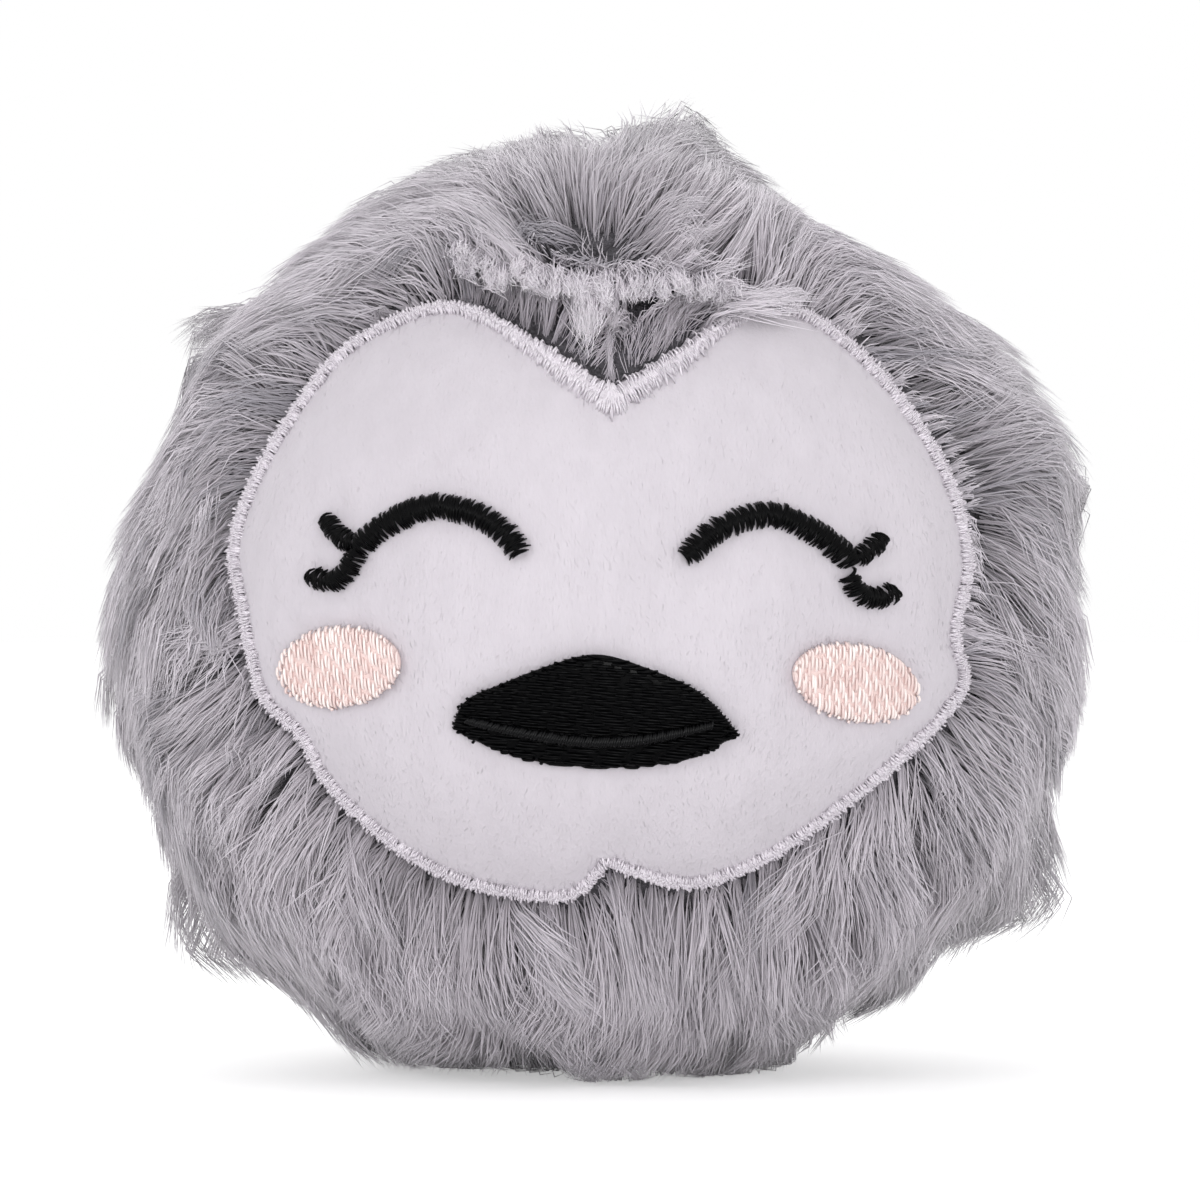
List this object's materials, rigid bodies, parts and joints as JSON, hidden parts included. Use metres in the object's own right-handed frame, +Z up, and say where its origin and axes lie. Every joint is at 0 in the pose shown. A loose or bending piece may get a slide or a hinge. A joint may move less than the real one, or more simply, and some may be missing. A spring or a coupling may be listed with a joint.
{
  "type": "plush squeaky ball dog toy",
  "caption": "Long-pile plush ball with an embroidered baby penguin face, stuffed round a squeaker bulb with a reed.",
  "frame": {"origin": "middle of the toy's footprint box, on the surface it rests on", "axes": "+X to the right as seen from the front, -Y where the face looks, +Z up"},
  "size_m": [0.1092, 0.0986, 0.106],
  "materials": {
    "long_pile_plush": "long soft lavender-grey pile",
    "stiffener_felt": "matt non-woven sheet",
    "short_pile_cloth": "short velvety nap",
    "white_thread": "shiny satin stitch",
    "black_thread": "shiny satin stitch",
    "pink_thread": "shiny satin stitch",
    "polyester_stuffing": "loose fibre",
    "bulb_plastic": "blow-moulded, satin",
    "reed_plastic": "moulded, satin",
    "reed_film": "clear-grey film, glossy"
  },
  "bodies": {
    "root": {"front_fur_panel": "long_pile_plush", "left_fur_panel": "long_pile_plush", "right_fur_panel": "long_pile_plush", "back_fur_panel": "long_pile_plush", "face_backing": "stiffener_felt", "face_applique": "short_pile_cloth", "face_border": "white_thread", "left_eye_arc": "black_thread", "left_upper_lash": "black_thread", "left_lower_lash": "black_thread", "right_eye_arc": "black_thread", "right_upper_lash": "black_thread", "right_lower_lash": "black_thread", "beak_patch": "black_thread", "mouth_line": "black_thread", "left_cheek": "pink_thread", "right_cheek": "pink_thread", "stuffing_front": "polyester_stuffing", "stuffing_back": "polyester_stuffing", "squeaker_bulb": "bulb_plastic", "reed_sleeve": "reed_plastic", "reed_seat": "reed_plastic", "reed_clamp": "reed_plastic"},
    "reed": {"reed": "reed_film"}
  },
  "joints": [
    {"name": "reed_flex", "type": "hinge", "parent": "root", "child": "reed", "pos_m": [-0.00024, -0.00492, 0.02919], "axis": [1, 0, 0], "range_deg": [-5, 5], "stiffness_Nm_per_rad": 0.01}
  ]
}
